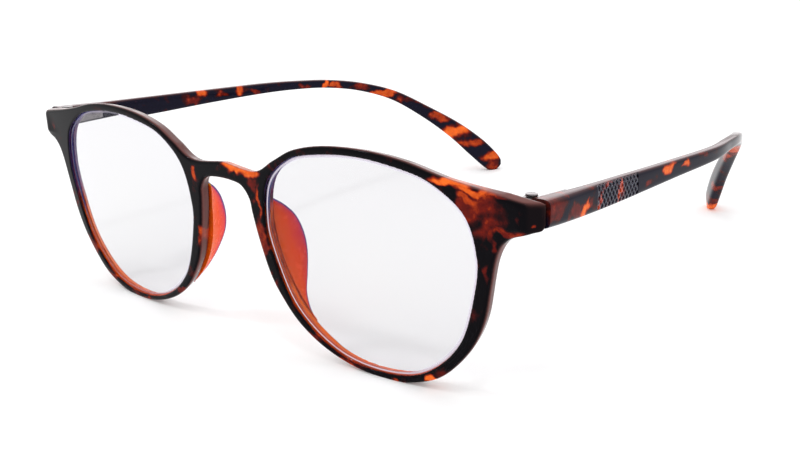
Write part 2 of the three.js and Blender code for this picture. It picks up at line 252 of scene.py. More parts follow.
def field_surface(field, low, high, step, rounds):
    """The relaxed zero surface of a distance field, sampled over a box."""
    axes = [np.arange(start, end, step) for start, end in zip(low, high)]
    samples = field(*np.meshgrid(*axes, indexing="ij"))
    vertices, quads = surface_nets(samples, low, step)
    return relaxed(vertices, quads, rounds), quads


# ---------------------------------------------------------------- fades and distances
def fade(value, start, full):
    """0 at the start, 1 where it is full, and held there beyond both."""
    return np.clip((value - start) / (full - start), 0, 1)


def round_meet(a, b, radius):
    """The meeting of two solids given by distances, with its edge rounded."""
    both = np.maximum(a + radius, 0) ** 2 + np.maximum(b + radius, 0) ** 2
    return np.minimum(np.maximum(a, b), -radius) + np.sqrt(both)


def round_join(a, b, radius):
    """The two solids as one, with the corner between them filled to a radius."""
    return -round_meet(-a, -b, radius)


def slab(value, middle, half):
    """Distance to a layer of some thickness about a middle."""
    return np.abs(value - middle) - half


def box_distance(points, box):
    low, high = np.asarray(box)
    gap = np.abs(points - (low + high) / 2) - (high - low) / 2
    return np.linalg.norm(np.maximum(gap, 0), axis=-1) + np.minimum(gap.max(axis=-1), 0)


def outline_distance(x, z, outline):
    """Signed distance from points to a closed outline, negative inside."""
    px, pz = x.ravel(), z.ravel()
    best = np.full(px.shape, np.inf)
    inside = np.zeros(px.shape, bool)
    tiny = 1e-12
    for (ax, az), (bx, bz) in zip(outline, np.roll(outline, -1, axis=0)):
        dx, dz = bx - ax, bz - az
        share = np.clip(((px - ax) * dx + (pz - az) * dz) / (dx * dx + dz * dz + tiny), 0, 1)
        best = np.minimum(best, (px - ax - share * dx) ** 2 + (pz - az - share * dz) ** 2)
        crosses = ((az > pz) != (bz > pz)) & (px < ax + (pz - az) * dx / (dz + tiny))
        inside ^= crosses
    return np.where(inside, -1, 1).reshape(x.shape) * np.sqrt(best).reshape(x.shape)


# ---------------------------------------------------------------- outlines of the front
HALF_PD = 35  # middle of the bridge to the middle of a lens opening
WRAP = 4.25  # how far the front has curved back at WRAP_AT from the middle
WRAP_AT = 60

# The lens opening, as x and z about its middle.
OPENING = [(23.1, -1), (23.7, 5.4), (21.9, 11.6), (16.8, 15.8), (10.9, 17.9), (0, 19.2), (-11.1, 18.2),
           (-17.2, 16.2), (-22.2, 11.8), (-24, 5.4), (-23.5, -1), (-18.9, -11.9), (-10.2, -18.7),
           (0, -20.9), (10.6, -19.2), (19.1, -11.9)]
# The left half of the outer edge, from the top of the bridge out to the end piece, then back under it.
BROW = [(0, 14.1), (9, 13.4), (14.6, 16.2), (20.1, 18.9), (27.7, 20.5), (36.8, 20.8), (45.2, 19.9),
        (53, 18), (60.5, 16.4), (67.6, 15.1), (70.6, 14.6)]
UNDERSIDE = [(70.95, 10.3), (67.3, 9.3), (64.6, 8.2), (62.8, 5.6), (61.2, -0.7), (59.6, -6.8),
             (56.8, -12.2), (52.3, -17.2), (47.9, -20.2), (41.6, -22.1), (36, -22.3), (29, -21.4),
             (22.2, -19), (16.8, -15.5), (13, -11.2), (10.4, -6.8), (8.4, -0.3), (7.3, 5),
             (6.9, 7.6), (5.2, 9.7), (2.5, 10.3), (0, 10.4)]
OPENING_SPAN_POINTS = 14
OUTER_SPAN_POINTS = 8


def catmull(points, per_span, closed=False):
    """A smooth curve through points, in any number of dimensions."""
    points = np.asarray(points, float)
    if closed:
        padded = np.concatenate([points[-1:], points, points[:2]])
    else:
        ends = 2 * points[[0, -1]] - points[[1, -2]]
        padded = np.concatenate([ends[:1], points, ends[1:]])
    t = np.linspace(0, 1, per_span, endpoint=False)[:, None]
    spans = []
    for a, b, c, d in zip(padded, padded[1:], padded[2:], padded[3:]):
        spans.append(0.5 * (2 * b + (c - a) * t + (2 * a - 5 * b + 4 * c - d) * t ** 2
                            + (3 * b - a - 3 * c + d) * t ** 3))
    curve = np.concatenate(spans)
    return curve if closed else np.concatenate([curve, points[-1:]])


def wrap_at(x):
    return WRAP * (x / WRAP_AT) ** 2


OPENING_CURVE = catmull(OPENING, OPENING_SPAN_POINTS, closed=True) + (HALF_PD, 0)
OUTER_HALF = np.concatenate([catmull(points, OUTER_SPAN_POINTS) for points in (BROW, UNDERSIDE)])
OUTER_CURVE = np.concatenate([OUTER_HALF, OUTER_HALF[1:-1][::-1] * (-1, 1)])

# ---------------------------------------------------------------- the front
FRONT_STEP = 0.24  # between the samples of its field
FRONT_RELAX = 2
FRONT_LOW = (-72.0, -0.6, -23.0)  # the box that they fill
FRONT_HIGH = (72.0, 4.8, 21.8)

FRONT_DEPTH = 3  # front to back of the rims
OUTER_ROUND = 0.75
LIP_ROUND = 0.28  # round the lens openings
REAR_TAPER = 0.95  # how far the outer walls draw in towards the rear
TAPER_LIMIT = 1.2  # the taper runs on behind the rims to this share of itself

END_SWELL = 1.6  # how much of the taper the end pieces fill back in
END_FROM, END_TIP = 54, 70.95  # where an end piece starts and ends, from the middle
END_LOW, END_RISE = 2, 7  # where it starts above the middle, and over what height
END_ROUND = 0.35
END_BLEND = 0.5

JOINT_REAR = 6.7  # rear face of the end piece, where a temple meets the front
JOINT_FROM = 60.3  # how far from the middle that face starts
JOINT_ROUND = 0.12
CHAMFER_FROM = (67.9, 5.2)  # the line that cuts an end piece's outer corner, in plan
CHAMFER_RUN = (3.4, 3.8)
CHAMFER_ROUND = 0.7

GROOVE_Y = 1.1  # middle of the lens groove, behind the front surface
GROOVE_WIDTH = 1.1
GROOVE_REACH = 0.6  # groove depth outside the lens opening

# Boxes square to the temples: the block behind an end piece, and the space for the hinge's front leaf.
END_BLOCK = ((61.4, 4, 11.3), (69.6, JOINT_REAR - 0.3, 14.6))
LEAF_POCKET = ((61.15, JOINT_REAR - 0.65, 11.3), (66.75, 9, 15.9))
DEEP_INSIDE = -9  # a distance that no cut reaches


def end_swell(x, z):
    raised = np.clip((z - END_LOW) / END_RISE, 0, 1)
    outward = np.maximum(0, (x - END_FROM) / (END_TIP - END_FROM))
    return END_SWELL * outward * raised ** 2 * (3 - 2 * raised)


def rims_field(x, y, z):
    """Distance to the rims and bridge, and to the lens openings alone."""
    flat_x, flat_z = x[:, 0, :], z[:, 0, :]
    outer = outline_distance(flat_x, flat_z, OUTER_CURVE)[:, None, :]
    opening = outline_distance(flat_x, flat_z, OPENING_CURVE)[:, None, :]
    taper = np.maximum(0, REAR_TAPER - end_swell(x, z)) * np.clip(y / FRONT_DEPTH, 0, TAPER_LIMIT)
    sheet = slab(y, FRONT_DEPTH / 2, FRONT_DEPTH / 2)
    body = round_meet(outer + taper, sheet, OUTER_ROUND)
    return round_meet(body, -opening, LIP_ROUND), opening


def front_field(x, y, z):
    """Distance to the front's surface. y is measured from its curved front surface."""
    x = np.abs(x)
    body, opening = rims_field(x, y, z)

    deep = y + wrap_at(x)
    in_temple = turned(np.stack([x, deep, z], axis=-1), TILT)
    body = round_join(body, box_distance(in_temple, END_BLOCK) - END_ROUND, END_BLEND)
    from_x, from_y = CHAMFER_FROM
    run_x, run_y = CHAMFER_RUN
    chamfer = ((x - from_x) * run_y - (deep - from_y) * run_x) / math.hypot(run_y, run_x)
    body = round_meet(body, chamfer, CHAMFER_ROUND)
    joint = np.where(x > JOINT_FROM, in_temple[..., 1] - JOINT_REAR, DEEP_INSIDE)
    body = round_meet(body, joint, JOINT_ROUND)

    groove = np.maximum(slab(y, GROOVE_Y, GROOVE_WIDTH / 2), opening - GROOVE_REACH)
    body = np.maximum(body, -groove)
    return np.maximum(body, -box_distance(in_temple, LEAF_POCKET))


def build_front():
    """The front, and its vertices in the front's own frame."""
    vertices, quads = field_surface(front_field, FRONT_LOW, FRONT_HIGH, FRONT_STEP, FRONT_RELAX)
    vertices[:, 1] += wrap_at(vertices[:, 0])
    piece = add_object("front", front_to_world(vertices), quads)
    return stand_for(piece, "frame_front", "front"), vertices


# ---------------------------------------------------------------- lenses
LENS_THICK = 2
LENS_EDGE = 0.8
LENS_DOME = 1.3  # how far the middle of a lens stands forward of its edge
LENS_PLAY = 0.15
# How far out from its middle each ring of a lens lies.
LENS_SHARES = (0.04, 0.15, 0.25, 0.35, 0.45, 0.55, 0.65, 0.74, 0.82, 0.89, 0.94, 0.97, 0.982, 1)
TONGUE_REACH = GROOVE_REACH - 0.25
TONGUE_HALF = 0.25
# For each side, the height under which the painted light on a rim's inner wall, and the painted refraction
# of that wall on a lens's side, turns from violet to amber, and how near to its edge a lens counts as
# being. The lens's painted edge highlight is brightest at 1, so on the left lens alone.
TURNS_WARM = {1: 6.5, -1: -4.5}
WARM_OVER = 4
EDGE_HIGHLIGHT_LIMIT = {1: 1, -1: 0.985}
REAR_EDGE_LIMIT = 0.9


def lens_profile():
    """The share of the way out, middle depth and half thickness of each ring of a lens."""
    profile = []
    for share in LENS_SHARES:
        crown = 1 - share ** 2
        half = LENS_EDGE / 2 + (LENS_THICK - LENS_EDGE) / 2 * crown
        profile.append((share, GROOVE_Y - LENS_DOME * crown, half))
    return profile


def opening_normals():
    ahead = np.roll(OPENING_CURVE, -1, axis=0) - np.roll(OPENING_CURVE, 1, axis=0)
    normals = np.stack([ahead[:, 1], -ahead[:, 0]], axis=1)
    return normals / np.linalg.norm(normals, axis=1)[:, None]


def lens_ring(share, outward, depth):
    centre = np.array([HALF_PD, 0])
    ring = centre + (OPENING_CURVE - centre) * share + opening_normals() * outward * share
    return np.stack([ring[:, 0], depth + wrap_at(ring[:, 0]), ring[:, 1]], axis=1)


def build_lens(side, name):
    """A domed lens, thinning to an edge whose tongue sits in the rim's groove."""
    profile = lens_profile()
    front = [(share, -LENS_PLAY * share, middle - half) for share, middle, half in profile]
    tongue = [(1, TONGUE_REACH, GROOVE_Y + across) for across in (-TONGUE_HALF, TONGUE_HALF)]
    rear = [(share, -LENS_PLAY * share, middle + half) for share, middle, half in reversed(profile)]
    rings = np.stack([lens_ring(*row) for row in front + tongue + rear])
    points, faces = ring_skin(rings * (side, 1, 1))
    piece = add_object(f"{name}_glass", front_to_world(points), faces)
    make_consistent(piece)

    # Painted highlight and refraction: the edge share picks a painted lilac-white ring, and the flank
    # marks the side painted with the rim's wall, violet above and amber below.
    edge = [min(share, EDGE_HIGHLIGHT_LIMIT[side]) for share, _, _ in front]
    edge += [min(share, REAR_EDGE_LIMIT) for share, _, _ in tongue + rear]
    flank = [0.0] * len(front) + [1.0] * (len(tongue) + 1) + [0.0] * (len(rear) - 1)
    paint(piece, "edge", np.repeat(edge, len(OPENING_CURVE)))
    paint(piece, "flank", np.repeat(flank, len(OPENING_CURVE)))
    paint(piece, "warm", fade(points[:, 2], TURNS_WARM[side], TURNS_WARM[side] - WARM_OVER))
    return stand_for(piece, name, "front")


# ---------------------------------------------------------------- temples
TEMPLE_STATIONS = [  # along the left temple
    # y, middle x, middle z, thickness, height
    (5.5, 68.8, 13.6, 4.6, 4.7), (12, 68.55, 13.5, 3.9, 4.8), (20, 68.15, 13.45, 2.9, 4.7),
    (32, 67.45, 13.65, 2.3, 4.3), (50, 66.4, 14.15, 2.2, 3.3), (66, 65.1, 14.5, 2.2, 2.6),
    (76, 62.5, 14.6, 2.2, 2.2), (84, 59.8, 14.3, 2.2, 2.1), (92, 55.9, 13.1, 2.3, 2.2),
    (100, 51.3, 10.4, 2.4, 2.6), (107, 46, 5.7, 2.5, 3.3), (113, 41, 0.7, 2.6, 4.5),
    (117.5, 37.2, -4.05, 2.6, 5.4), (120.5, 34.7, -7.65, 2.5, 5.2), (121.8, 33.6, -9.25, 2.1, 4.3),
    (122.3, 33.2, -9.85, 1.3, 3),
]
TEMPLE_SPAN_RINGS = 26
TEMPLE_SHARP = 32  # degrees
TIP_CAPS = ((0.9, 0.18), (0.7, 0.33), (0.4, 0.42))  # rings past the last: share of its size, how far past
SECTION_POINTS = 48
SECTION_SAMPLES = 721
SECTION_TALL = 1.6  # height over width of the section that the points are spread on
ROUNDNESS = 0.5  # 1 is an ellipse, 0 a rectangle

JOINT_GAP = 0.4  # between an end piece and its temple
BARREL_RADIUS = 1.35
BARREL_PLAY = 0.25
BARREL_SIDES = 48
LEAF_LOW, LEAF_HIGH = 11.2, 16  # the space for the hinge's temple leaf
LEAF_OUTER, LEAF_REAR = 66.8, 17.75
CUT_INNER, CUT_OUTER = 60, 80  # x values to either side of the temple
CUT_HEIGHTS = {"joint": (0, 30), "barrel": (5, 25), "inlay": (8, 19)}  # from below it to above it

INLAY_FROM, INLAY_TO = 22.1, 35.9
INLAY_FACE = (69.45, 68.47)  # how far out the temple's outer face lies at the inlay's two ends
INLAY_DEPTH = 0.6
INLAY_CLEAR = 3


def section_points():
    """A rounded rectangle one unit wide and high, its points evenly spread on a taller one."""
    angle = np.linspace(0, 2 * math.pi, SECTION_SAMPLES)
    cos, sin = np.cos(angle), np.sin(angle)
    flat = np.sign(cos) * np.abs(cos) ** ROUNDNESS / 2
    tall = np.sign(sin) * np.abs(sin) ** ROUNDNESS / 2
    steps = np.hypot(np.diff(flat), SECTION_TALL * np.diff(tall))
    length = np.concatenate([[0], np.cumsum(steps)])
    even = np.linspace(0, length[-1], SECTION_POINTS, endpoint=False)
    return np.interp(even, length, flat), np.interp(even, length, tall)


def temple_rings():
    path = catmull([(x, y, z) for y, x, z, _, _ in TEMPLE_STATIONS], TEMPLE_SPAN_RINGS)
    size = catmull([(thick, high) for *_, thick, high in TEMPLE_STATIONS], TEMPLE_SPAN_RINGS)
    along = np.gradient(path, axis=0)
    along /= np.linalg.norm(along, axis=1)[:, None]
    across = np.cross(along, (0, 0, 1))
    across /= np.linalg.norm(across, axis=1)[:, None]
    rise = np.cross(across, along)
    flat, tall = section_points()
    rings = (path[:, None, :] + across[:, None, :] * (flat[None, :] * size[:, :1])[..., None]
             + rise[:, None, :] * (tall[None, :] * size[:, 1:])[..., None])
    end, heading = path[-1], along[-1]
    caps = [end + (rings[-1] - end) * shrink + heading * ahead for shrink, ahead in TIP_CAPS]
    return np.concatenate([rings, np.stack(caps)])


def prism_cutter(plan, heights, side):
    """A cutting tool: x and y points seen from above, carried from one height to another."""
    rings = [[(x, y, height) for x, y in plan] for height in heights]
    points, faces = ring_skin(np.array(rings, float) * (side, 1, 1))
    tool = add_object("cutter", temple_to_world(points), faces, smooth=False)
    make_consistent(tool)
    return tool


def temple_cutters(side):
    """What the temple leaves free: the joint, the barrel, the hinge's leaf and the inlay."""
    joint_end = JOINT_REAR + JOINT_GAP
    joint = [(CUT_INNER, 0), (CUT_OUTER, 0), (CUT_OUTER, joint_end), (CUT_INNER, joint_end)]
    radius = BARREL_RADIUS + BARREL_PLAY
    turns = np.linspace(0, 2 * math.pi, BARREL_SIDES, endpoint=False)
    barrel = [(HINGE.x + radius * math.cos(turn), HINGE.y + radius * math.sin(turn)) for turn in turns]
    leaf = [(CUT_INNER, HINGE.y), (LEAF_OUTER, HINGE.y), (LEAF_OUTER, LEAF_REAR), (CUT_INNER, LEAF_REAR)]
    near, far = INLAY_FACE
    inlay = [(near - INLAY_DEPTH, INLAY_FROM), (near + INLAY_CLEAR, INLAY_FROM),
             (far + INLAY_CLEAR, INLAY_TO), (far - INLAY_DEPTH, INLAY_TO)]
    return [
        prism_cutter(joint, CUT_HEIGHTS["joint"], side),
        prism_cutter(barrel, CUT_HEIGHTS["barrel"], side),
        prism_cutter(leaf, (LEAF_LOW, LEAF_HIGH), side),
        prism_cutter(inlay, CUT_HEIGHTS["inlay"], side),
    ]


def carve(piece, tools):
    for tool in tools:
        step = piece.modifiers.new("cut", "BOOLEAN")
        step.object = tool
        step.operation = "DIFFERENCE"
        step.solver = "EXACT"
    apply_modifiers(piece)
    for tool in tools:
        bpy.data.objects.remove(tool)


def build_temple(side, name, body):
    vertices, faces = ring_skin(temple_rings() * (side, 1, 1))
    piece = add_object(f"{name}_arm", temple_to_world(vertices), faces)
    make_consistent(piece)
    carve(piece, temple_cutters(side))
    crisp(piece, TEMPLE_SHARP)
    return stand_for(piece, name, body)


# ---------------------------------------------------------------- the diamond net in each temple
# It is drawn flat, as a distance along it, a depth in from its outer face and a height about its middle.
NET_STEP = 0.085  # between the samples of its field
NET_RELAX = 1
NET_PLAY = 0.08  # gap at each end
NET_SUNK = 0.06  # below the temple's outer face
NET_MARGIN = 0.14  # kept from the temple's top and underside
NET_ROLL = 0.3  # how far its long edges turn in, along the temple's rounded corners
NET_LOW = (-0.3, -0.2, -2.5)  # the box that they fill
NET_HIGH = (INLAY_TO - INLAY_FROM + 0.4, 0.8, 2.5)
INLAY_HEIGHT = 4.35  # as drawn flat

DIAMOND_LONG, DIAMOND_TALL = 1.16, 1.62
RIB_HALF = 0.17
RIB_MIDDLE, RIB_RISE = 0.3, 0.22  # the ribs' middle depth and half height
RIB_ROUND = 0.12
PLATE_MIDDLE, PLATE_HALF = 0.47, 0.06
PLATE_BLEND = 0.06
BORDER_HALF = 0.14
BORDER_MIDDLE, BORDER_RISE = 0.28, 0.22


def net_field(along, out, up):
    """Distance to crossing ribs on a thin back plate, with a border across its front end."""
    u = along / DIAMOND_LONG + up / DIAMOND_TALL
    v = along / DIAMOND_LONG - up / DIAMOND_TALL
    slope = 1 / math.hypot(1 / DIAMOND_LONG, 1 / DIAMOND_TALL)
    ribs = np.minimum(np.abs(u - np.round(u)), np.abs(v - np.round(v))) * slope - RIB_HALF
    ribs = round_meet(ribs, slab(out, RIB_MIDDLE, RIB_RISE), RIB_ROUND)
    net = round_join(ribs, slab(out, PLATE_MIDDLE, PLATE_HALF), PLATE_BLEND)
    border = np.maximum(slab(along, BORDER_HALF, BORDER_HALF), slab(out, BORDER_MIDDLE, BORDER_RISE))
    long = INLAY_TO - INLAY_FROM - 2 * NET_PLAY
    outline = np.maximum(slab(along, long / 2, long / 2), np.abs(up) - INLAY_HEIGHT / 2)
    return np.maximum(np.minimum(net, border), outline)


def build_net(side, name, body):
    vertices, quads = field_surface(net_field, NET_LOW, NET_HIGH, NET_STEP, NET_RELAX)
    near, far = INLAY_FACE
    fall = (far - near) / (INLAY_TO - INLAY_FROM)
    place = np.stack([near + fall * vertices[:, 0] - vertices[:, 1] - NET_SUNK,
                      INLAY_FROM + NET_PLAY + vertices[:, 0], vertices[:, 2]], axis=1)
    station_y, _, station_z, _, station_height = np.array(TEMPLE_STATIONS).T
    half = np.interp(place[:, 1], station_y, station_height) / 2 - NET_MARGIN
    share = vertices[:, 2] / (INLAY_HEIGHT / 2)
    place[:, 2] = np.interp(place[:, 1], station_y, station_z) + share * half
    place[:, 0] -= NET_ROLL * np.clip(np.abs(share), 0, 1) ** 6
    piece = add_object(f"{name}_net", temple_to_world(place * (side, 1, 1)), quads)
    make_consistent(piece)
    return stand_for(piece, name, body)


# ---------------------------------------------------------------- nose pads
PAD_ROWS = [
    # height, middle at the rim, middle at the free edge, how far back that edge is, width at the rim
    (7.2, 9.0, 9.6, 4.2, 2.3), (5.4, 9.1, 10.5, 6.2, 2.3), (2.8, 9.5, 11.4, 8.0, 2.3),
    (-0.8, 10.0, 12.0, 9.0, 2.3), (-4.4, 10.9, 12.6, 8.8, 2.3), (-8.0, 12.6, 13.6, 7.3, 2.3),
    (-11.0, 14.6, 14.8, 5.5, 2.1), (-13.4, 16.7, 16.6, 4.3, 1.6), (-15.2, 18.6, 18.4, 3.75, 1.1),
]
PAD_SPAN_ROWS = 9
PAD_EDGE = 1.3  # greatest thickness at the free edge
PAD_GAP = 0.15
PAD_BOW = 0.9  # under 1, the walls bow outwards
PAD_ACROSS = np.linspace(0, 1, 9)  # shares of the way from the rim to the free edge
PAD_BEND = np.linspace(0, math.pi, 9)[1:-1]  # turns round the free edge
PAD_CAP_SHRINK = 0.8
PAD_CAP_HIGH = 0.25
PAD_SHARP = 50  # degrees
BEND_DEEP = 1.15  # depth of colour round the free edge
FLANK_DEEP, UPPER_DEEPER = 0.72, 0.2  # beside it, at the foot of the pad, and what the top adds
DEEPEN_OVER = 9  # the height over which that is added, up to the middle


def pad_section(z, rim_x, edge_x, edge_y, width):
    """A level ring from the rim to the free edge, round it and back, and its depth of colour."""
    rim_y = FRONT_DEPTH + PAD_GAP + wrap_at(rim_x + width / 2)
    wall = []
    for share in PAD_ACROSS:
        half = (width + (min(width, PAD_EDGE) - width) * share) / 2
        middle = rim_x + (edge_x - rim_x) * share ** PAD_BOW
        wall.append((middle, rim_y + (edge_y - half - rim_y) * share, half))
    inner = [(x - half, y, z) for x, y, half in wall]
    outer = [(x + half, y, z) for x, y, half in wall]
    x, y, half = wall[-1]
    bend = [(x - half * math.cos(turn), y + half * math.sin(turn), z) for turn in PAD_BEND]
    deep = FLANK_DEEP + UPPER_DEEPER * min(1, max(0, (z + DEEPEN_OVER) / DEEPEN_OVER))
    flank = [deep * share for share in PAD_ACROSS]
    return inner + bend + outer[::-1], flank + [BEND_DEEP] * len(bend) + flank[::-1]


def pad_cap(ring, ahead):
    """A smaller ring past an end one, which rounds the end off."""
    middle = ring.mean(axis=0)
    cap = middle + (ring - middle) * (PAD_CAP_SHRINK, PAD_CAP_SHRINK, 1)
    cap[:, 2] += ahead
    cap[:, 1] = np.maximum(cap[:, 1], ring[:, 1].min())
    return cap[None]


def build_pad(side, name):
    sections = [pad_section(*row) for row in catmull(PAD_ROWS, PAD_SPAN_ROWS)]
    rings = np.array([ring for ring, _ in sections])
    marks = [mark for _, mark in sections]
    rings = np.concatenate([pad_cap(rings[0], PAD_CAP_HIGH), rings, pad_cap(rings[-1], -PAD_CAP_HIGH)])
    vertices, faces = ring_skin(rings * (side, 1, 1))
    piece = add_object(f"{name}_pad", front_to_world(vertices), faces)
    make_consistent(piece)
    paint(piece, "edge", np.concatenate([marks[0], *marks, marks[-1]]))
    crisp(piece, PAD_SHARP)
    return stand_for(piece, name, "front")


# ---------------------------------------------------------------- hinge metal
STEEL_EDGE = 0.06 * MM
STEEL_FLAT = math.radians(1)  # faces nearer in line than this become one
STEEL_CORNER = math.radians(35)
STEEL_SHARP = 30  # degrees
WELD = 1e-7  # points nearer than this, in metres, become one


def build_steel(node, body):
    """The CAD solid again, with its edges broken."""
    piece = frame["nodes"][node].copy()
    piece.data = frame["nodes"][node].data.copy()
    piece.name = f"{node}_metal"
    bpy.context.scene.collection.objects.link(piece)
    work = bmesh.new()
    work.from_mesh(piece.data)
    bmesh.ops.remove_doubles(work, verts=work.verts, dist=WELD)
    bmesh.ops.dissolve_limit(work, angle_limit=STEEL_FLAT, verts=work.verts, edges=work.edges)
    work.to_mesh(piece.data)
    work.free()
    bevel = piece.modifiers.new("edges", "BEVEL")
    bevel.width = STEEL_EDGE
    bevel.segments = 2
    bevel.limit_method = "ANGLE"
    bevel.angle_limit = STEEL_CORNER
    apply_modifiers(piece)
    crisp(piece, STEEL_SHARP)
    return stand_for(piece, node, body)


# ---------------------------------------------------------------- tortoiseshell patches
# Each patch: its middle, its two half sizes, how light it is.
FRONT_PATCHES = [  # x, z in the front's frame
    (4.2, 13.4, 4.6, 1.2, 0.92), (8.4, 12.8, 1.8, 0.9, 0.86), (-8.4, 10.6, 0.8, 1.7, 0.74),
    (8.6, 9.6, 1.0, 2.6, 0.57), (10.0, 7.2, 0.5, 3.0, 0.74), (13.4, 15.3, 1.9, 0.8, 0.6),
    (55.0, 17.2, 3.4, 0.7, 0.92), (59.0, 16.3, 3.2, 0.6, 0.86), (62.8, 15.6, 2.6, 0.4, 0.7),
    (59.4, 12.6, 4.4, 3.8, 0.61), (57.4, 14.6, 1.8, 0.9, 0.74), (65.2, 9.8, 3.0, 0.7, 0.6),
    (69.2, 11.3, 0.5, 0.4, 0.74), (62.4, 8.0, 0.7, 2.2, 0.66), (60.6, 4.0, 0.7, 3.0, 0.58),
    (9.6, -2.0, 1.1, 7.0, 0.62), (12.6, -9.8, 1.3, 3.0, 0.6), (21.0, -17.4, 3.0, 1.2, 0.61),
    (29.0, -20.8, 2.8, 0.6, 0.72), (36.0, -22.0, 3.4, 0.5, 0.68), (42.4, -21.8, 2.4, 0.4, 0.72),
    (47.6, -19.9, 1.6, 0.9, 0.95), (-55.4, -14.6, 2.4, 2.4, 0.6), (-47.0, -19.6, 3.0, 0.9, 0.62),
    (-34.0, -21.6, 3.6, 0.6, 0.66), (-9.9, -2.6, 0.7, 2.2, 0.74), (-60.2, -5.0, 0.8, 3.0, 0.55),
    (-19.0, -16.6, 2.0, 1.0, 0.6), (-9.6, -8.0, 0.8, 2.0, 0.56),
]
LEFT_PATCHES = [  # y, z in the temples' frame
    (9.0, 14.2, 2.6, 2.2, 0.55), (15.5, 12.6, 2.4, 1.1, 0.58), (18.0, 12.1, 1.2, 1.0, 0.95),
    (19.6, 12.9, 0.8, 1.1, 0.9), (21.4, 13.8, 1.0, 1.8, 0.58), (13.0, 15.9, 1.6, 0.4, 0.74),
    (19.6, 15.8, 1.2, 0.4, 0.66), (22.5, 13.0, 0.5, 1.8, 0.7), (29.6, 12.6, 0.5, 1.4, 0.75),
    (30.8, 14.4, 0.5, 1.2, 0.7), (25.5, 15.2, 2.8, 0.4, 0.6), (40.5, 13.0, 1.7, 0.8, 0.56),
    (46.4, 14.8, 1.4, 0.8, 0.9), (48.4, 15.6, 1.2, 0.4, 0.7), (53.4, 14.8, 1.8, 0.6, 0.86),
    (60.5, 15.2, 2.0, 0.6, 0.58), (92.0, 13.2, 2.6, 0.8, 0.58), (100.4, 9.6, 3.0, 2.4, 0.74),
    (105.0, 6.4, 2.6, 2.0, 0.64), (114.6, -3.6, 1.2, 1.6, 0.6), (118.6, -8.2, 2.4, 2.2, 0.56),
    (121.0, -10.6, 2.0, 1.8, 0.98),
]
RIGHT_PATCHES = [  # the same
    (44.0, 13.6, 2.0, 1.0, 0.62), (46.4, 15.2, 1.2, 1.0, 0.85), (52.0, 13.8, 2.2, 0.8, 0.7),
    (58.6, 14.9, 0.9, 1.3, 0.8), (63.0, 13.8, 1.2, 0.7, 0.62), (76.0, 14.2, 1.6, 0.6, 0.6),
    (82.6, 14.4, 0.7, 1.3, 0.92), (85.0, 13.8, 2.0, 0.6, 0.75), (91.0, 13.0, 2.4, 1.0, 0.6),
    (97.4, 11.5, 3.0, 1.0, 0.8), (102.6, 9.2, 2.6, 0.9, 0.68), (108.8, 4.4, 2.2, 1.0, 0.7),
    (112.4, 0.6, 2.6, 1.6, 0.9), (116.4, -3.0, 2.6, 1.2, 0.72), (120.4, -6.8, 2.2, 1.4, 0.8),
    (121.0, -10.0, 2.0, 1.6, 0.62),
]
# Where in the noise each piece's clouds are taken from.
FRONT_SEED = 3.0
MOTTLE_SEED = 5.0
TEMPLE_SEEDS = {1: 9.0, -1: 7.0}
CLOUD_SEED_SHIFT = 20

# Clouds, by how fine they are per millimetre, and how far they push a patch's outline.
BROAD, FINE, CLOUD, MOTTLE = 0.3, 1.1, 0.34, 0.22
BROAD_PUSH = (1.8, 1.3)
FINE_PUSH = 0.5
GROUND, GROUND_LIMIT = 0.26, 0.5  # how light it is between the patches
GROUND_BROAD, GROUND_FINE = 0.34, 0.1
PATCH_REACH = 1.75  # a patch has faded out this many half sizes from its middle
PATCH_FADE = 0.7
CLOUD_DARK = 0.4  # the share that a dark cloud takes of the light
CLOUD_CONTRAST, CLOUD_OFFSET = 2.4, 0.2
CLOUD_STOPS, CLOUD_FULL = 0.85, 0.65  # a cloud spares what is this light, and is whole on what is darker

# Painted light on the front's walls and the temples' tops, standing in for light through the plastic and
# sheen on it.
OPENING_REACH = 25.9  # from the middle of an opening to beyond its wall
OPENING_MIDDLE_Z = -1
INWARD = -0.2  # a normal that points outwards less than this belongs to the opening's wall
SIDE_STARTS, SIDE_FULL = 0.78125, 0.15625  # a wall's painted sheen and glow, by how much of its normal is along Y
BEHIND_STARTS, BEHIND_FULL = 0.05, 0.55  # and by how far behind the front surface it is
WALL_PAINTED_GLOW, GLOW_FALL = 0.8, 50  # how light the painted glow on an inner wall is at height 0, and the rise that takes 1 off
GLOW_MOTTLE = 0.3
GLOW_RANGE = (0.6, 1.0)
DUSK_MOTTLE = 3
END_SIDE = (61, 64)  # from where to where, from the middle, a wall becomes an end piece's
END_OVER = (7, 8)  # and from which height to which
END_LOSS = 0.9  # the share of the walls' painted sheen that an end piece's sides don't have
TOP_STARTS, TOP_FULL = 0.4375, 1.0625  # a temple's painted sheen on its top, by how much of its normal is upwards
TOP_PAINTED_SHEEN = 0.6

noise.seed_set(11)  # the same clouds on every run


def wandering(points, fineness, seed):
    """A smooth random offset for each point."""
    shift = Vector((seed, 0, 0))
    return np.array([noise.noise_vector(Vector(point) * fineness + shift) for point in points])


def patch_light(first, second, points, patches, seed):
    """How light each point is, from 0 dark to 1 amber."""
    broad = wandering(points, BROAD, seed)
    fine = wandering(points, FINE, seed)
    one = first + BROAD_PUSH[0] * broad[:, 0] + FINE_PUSH * fine[:, 0]
    two = second + BROAD_PUSH[1] * broad[:, 1] + FINE_PUSH * fine[:, 1]
    ground = GROUND + GROUND_BROAD * broad[:, 2] + GROUND_FINE * fine[:, 2]
    light = np.clip(ground, 0, GROUND_LIMIT)
    for mid_one, mid_two, half_one, half_two, strength in patches:
        reach = np.hypot((one - mid_one) / half_one, (two - mid_two) / half_two)
        light = np.maximum(light, strength * np.clip(PATCH_REACH - reach, 0, 1) ** PATCH_FADE)
    cloud = wandering(points, CLOUD, seed + CLOUD_SEED_SHIFT)[:, 0]
    shaded = np.clip(CLOUD_CONTRAST * cloud - CLOUD_OFFSET, 0, 1) * fade(light, CLOUD_STOPS, CLOUD_FULL)
    return light * (1 - CLOUD_DARK * shaded)


